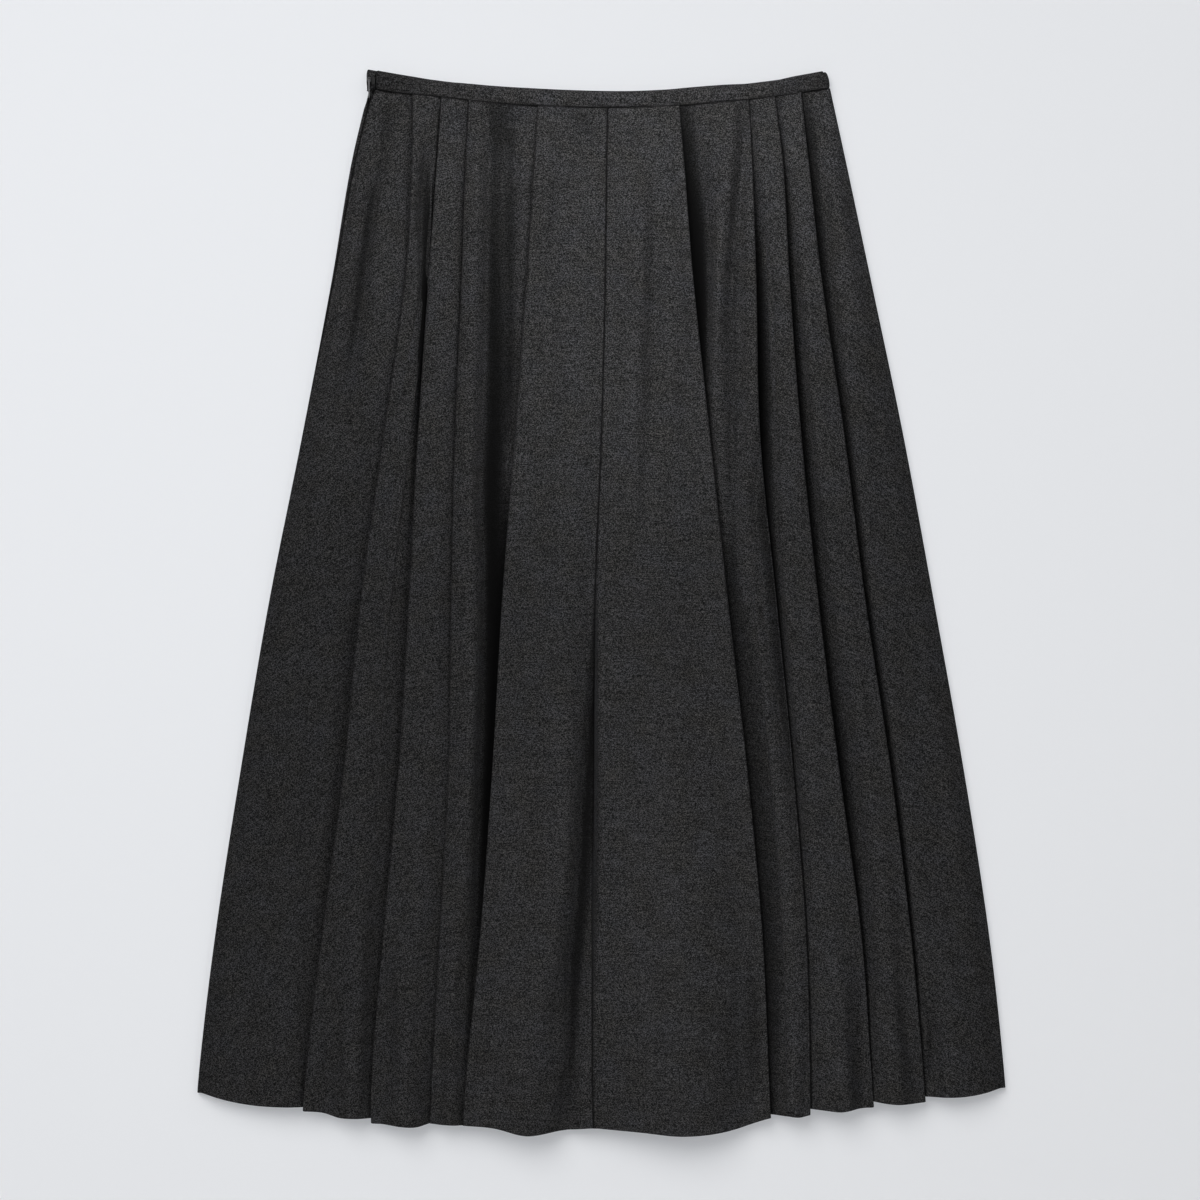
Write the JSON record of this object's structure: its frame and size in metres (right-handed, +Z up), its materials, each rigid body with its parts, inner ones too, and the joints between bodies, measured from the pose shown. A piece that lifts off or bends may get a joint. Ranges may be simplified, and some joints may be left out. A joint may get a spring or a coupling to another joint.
{
  "type": "pleated midi skirt",
  "caption": "Flared midi skirt laid flat, front up: knife pleats folded outwards from a centre seam, a narrow waistband and a concealed zip in one side seam.",
  "frame": {"origin": "on the surface that the skirt lies on, under the middle of its bounding box", "axes": "+Z up out of the skirt's front, +Y towards the waist, +X to the right as seen from above with the waist at the top"},
  "size_m": [0.6307, 0.8305, 0.0244],
  "materials": {
    "cloth": "charcoal melange plain weave, matt with a soft sheen along the folds",
    "zip_tape": "fine black woven tape",
    "zip_metal": "dark grey enamel, slightly glossy"
  },
  "bodies": {
    "skirt": {"front_left": "cloth", "front_right": "cloth", "back": "cloth", "waistband": "cloth", "zip_tape": "zip_tape", "zip_slider": "zip_metal"},
    "pull_tab": {"zip_pull": "zip_metal"}
  },
  "joints": [
    {"name": "pull_tab_swing", "type": "hinge", "parent": "skirt", "child": "pull_tab", "pos_m": [-0.1812, 0.407, 0.007], "axis": [0, 0, -1], "range_deg": [0, 170]}
  ]
}
